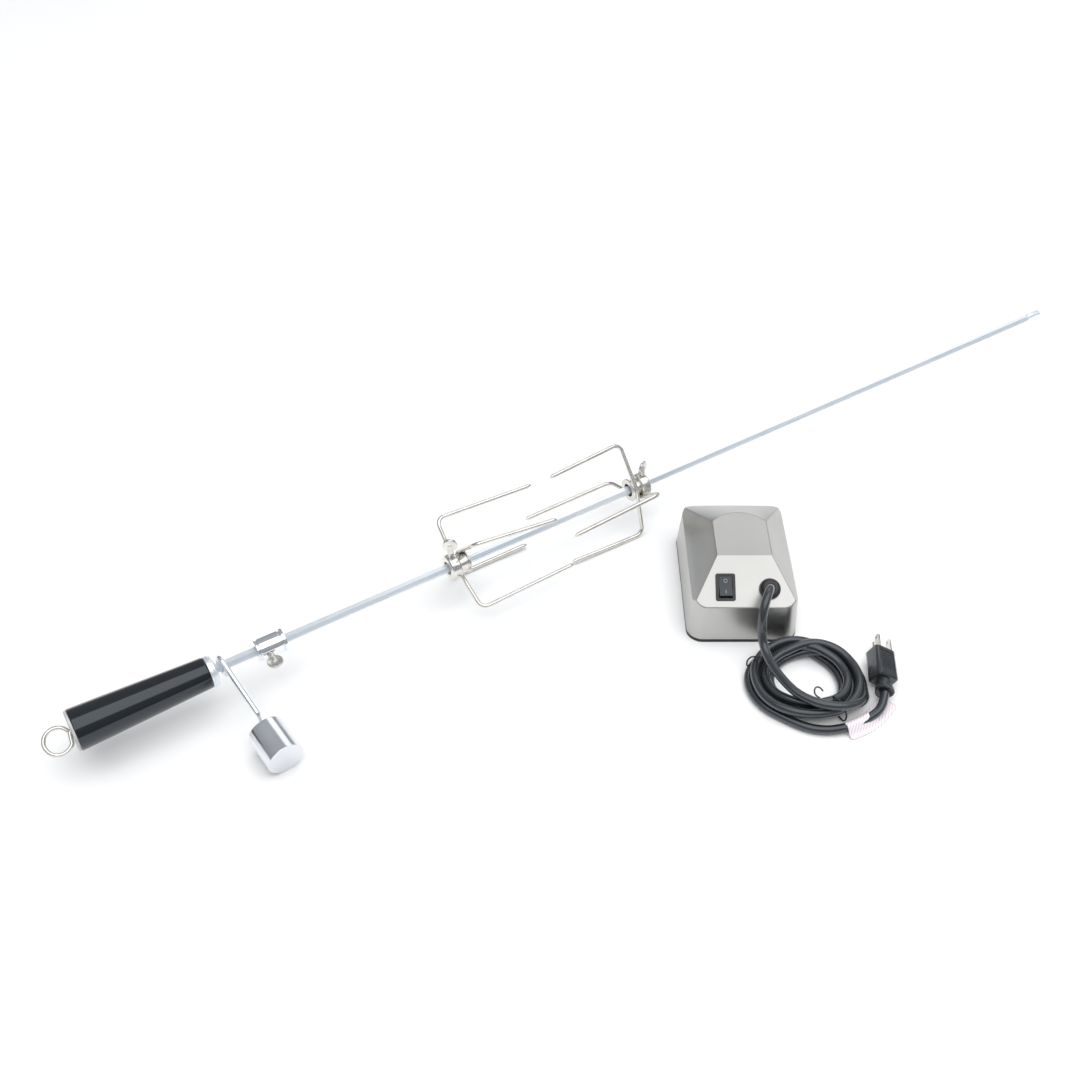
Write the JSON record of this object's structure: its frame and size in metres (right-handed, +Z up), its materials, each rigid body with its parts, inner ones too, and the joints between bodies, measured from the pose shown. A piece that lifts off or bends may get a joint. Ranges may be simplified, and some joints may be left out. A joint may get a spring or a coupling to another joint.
{
  "type": "rotisserie spit roaster",
  "caption": "Rotisserie spit kit: a hexagonal rod with handle, counterweight, bushing and pronged forks, beside its mains gear motor with a switch, coiled cord and plug.",
  "frame": {"origin": "centre of the motor unit's bracket bolt circle on the underside of its base plate, which is also the drive socket's axis, on the surface the kit lies on", "axes": "+X along the spit from its handle to its tip, +Z up, away from the base plate, +Y from the motor unit towards the spit"},
  "size_m": [1.2042, 0.4041, 0.0907],
  "materials": {
    "stainless": "brushed",
    "black_paint": "satin",
    "chrome": "polished",
    "nickel": "bright",
    "zinc": "satin",
    "bearing_bronze": "satin",
    "copper_winding": "enamelled",
    "magnet": "matt",
    "white_plastic": "matt",
    "black_gloss": "gloss",
    "black_plastic": "satin",
    "grey_cap": "satin",
    "cord_black": "satin",
    "blade_brass": "polished",
    "tie_black": "matt",
    "paper": "matt"
  },
  "bodies": {
    "motor_unit": {"motor_cover": "stainless", "base_plate": "black_paint", "cover_screws": "zinc", "gear_plate_lower": "zinc", "gear_plate_upper": "zinc", "gear_plate_spacers": "zinc", "gear_plate_posts": "zinc", "gear_plate_nuts": "zinc", "socket_bush_lower": "bearing_bronze", "socket_bush_upper": "bearing_bronze", "gear_pins": "zinc", "bracket_nuts": "zinc", "ground_screw": "zinc", "motor_mount_plate": "zinc", "motor_can": "zinc", "motor_bobbin": "white_plastic", "motor_coil": "copper_winding", "motor_pole_ring": "zinc", "motor_bushes": "bearing_bronze", "motor_screws": "zinc", "switch_housing": "black_plastic", "switch_terminals": "blade_brass", "cord_gland": "black_plastic", "inner_wires": "black_plastic", "cord_lead": "cord_black", "cord_coil": "cord_black", "cord_tail": "cord_black", "coil_ties": "tie_black", "cord_tag": "paper", "plug_body": "cord_black", "plug_blades": "nickel", "plug_ground_pin": "nickel"},
    "rocker": {"switch_rocker": "black_gloss"},
    "drive": {"drive_socket": "zinc", "output_gear": "zinc"},
    "second_gear": {"second_gear": "zinc"},
    "first_gear": {"first_gear": "zinc"},
    "rotor": {"rotor_magnet": "magnet", "rotor_shaft": "zinc"},
    "handle": {"handle_grip": "black_gloss", "handle_end_cap": "grey_cap", "handle_ferrule": "chrome", "handle_eye": "chrome", "handle_insert": "zinc"},
    "spit": {"spit_rod": "chrome"},
    "weight_arm": {"counterweight_arm": "chrome"},
    "counterweight": {"counterweight": "chrome"},
    "bushing": {"bushing": "chrome"},
    "bushing_screw": {"bushing_thumbscrew": "chrome"},
    "left_fork": {"left_fork_hub": "nickel", "left_fork_long_wire": "nickel", "left_fork_short_wire": "nickel"},
    "left_screw": {"left_fork_thumbscrew": "nickel"},
    "right_fork": {"right_fork_hub": "nickel", "right_fork_long_wire": "nickel", "right_fork_short_wire": "nickel"},
    "right_screw": {"right_fork_thumbscrew": "nickel"}
  },
  "joints": [
    {"name": "switch_rock", "type": "hinge", "parent": "motor_unit", "child": "rocker", "pos_m": [-0.04465, -0.03531, 0.05269], "axis": [0.8465, -0.5324, 0], "range_deg": [0, 20]},
    {"name": "drive_spin", "type": "hinge", "parent": "motor_unit", "child": "drive", "pos_m": [0, 0, 0.01], "axis": [0, 0, 1], "continuous": true},
    {"name": "second_gear_spin", "type": "hinge", "parent": "motor_unit", "child": "second_gear", "pos_m": [0.02386, 0.02561, 0.012], "axis": [0, 0, 1], "continuous": true},
    {"name": "first_gear_spin", "type": "hinge", "parent": "motor_unit", "child": "first_gear", "pos_m": [0.02643, -0.00308, 0.022], "axis": [0, 0, 1], "continuous": true},
    {"name": "rotor_spin", "type": "hinge", "parent": "motor_unit", "child": "rotor", "pos_m": [0.00733, -0.01316, 0.04], "axis": [0, 0, 1], "continuous": true},
    {"name": "spit_lift", "type": "slide", "parent": "motor_unit", "child": "handle", "axis": [0, 0, 1], "range_m": [0, 0.15]},
    {"name": "spit_turn", "type": "hinge", "parent": "handle", "child": "spit", "pos_m": [-0.5, 0.1325, 0.04478], "axis": [1, 0, 0], "continuous": true},
    {"name": "arm_swing", "type": "hinge", "parent": "spit", "child": "weight_arm", "pos_m": [-0.4795, 0.1325, 0.04478], "axis": [1, 0, 0], "continuous": true},
    {"name": "counterweight_turn", "type": "hinge", "parent": "weight_arm", "child": "counterweight", "pos_m": [-0.47098, 0.06504, 0.01945], "axis": [0.0748, -0.9948, -0.0698], "continuous": true},
    {"name": "bushing_slide", "type": "slide", "parent": "spit", "child": "bushing", "axis": [1, 0, 0], "range_m": [-0.02, 0.03]},
    {"name": "bushing_screw_turn", "type": "hinge", "parent": "bushing", "child": "bushing_screw", "pos_m": [-0.4375, 0.1325, 0.04478], "axis": [0, -1, 0], "range_deg": [0, 720]},
    {"name": "left_fork_slide", "type": "slide", "parent": "spit", "child": "left_fork", "axis": [1, 0, 0], "range_m": [-0.12, 0.1]},
    {"name": "left_screw_turn", "type": "hinge", "parent": "left_fork", "child": "left_screw", "pos_m": [-0.2453, 0.1325, 0.04478], "axis": [0, 0, 1], "range_deg": [0, 720]},
    {"name": "right_fork_slide", "type": "slide", "parent": "spit", "child": "right_fork", "axis": [1, 0, 0], "range_m": [-0.09, 0.5]},
    {"name": "right_screw_turn", "type": "hinge", "parent": "right_fork", "child": "right_screw", "pos_m": [-0.0212, 0.1325, 0.04478], "axis": [0, 0, 1], "range_deg": [0, 720]}
  ],
  "couplings": [
    {"joint": "second_gear_spin", "follows": "drive_spin", "ratio": -4},
    {"joint": "first_gear_spin", "follows": "drive_spin", "ratio": 20},
    {"joint": "rotor_spin", "follows": "drive_spin", "ratio": -100}
  ]
}
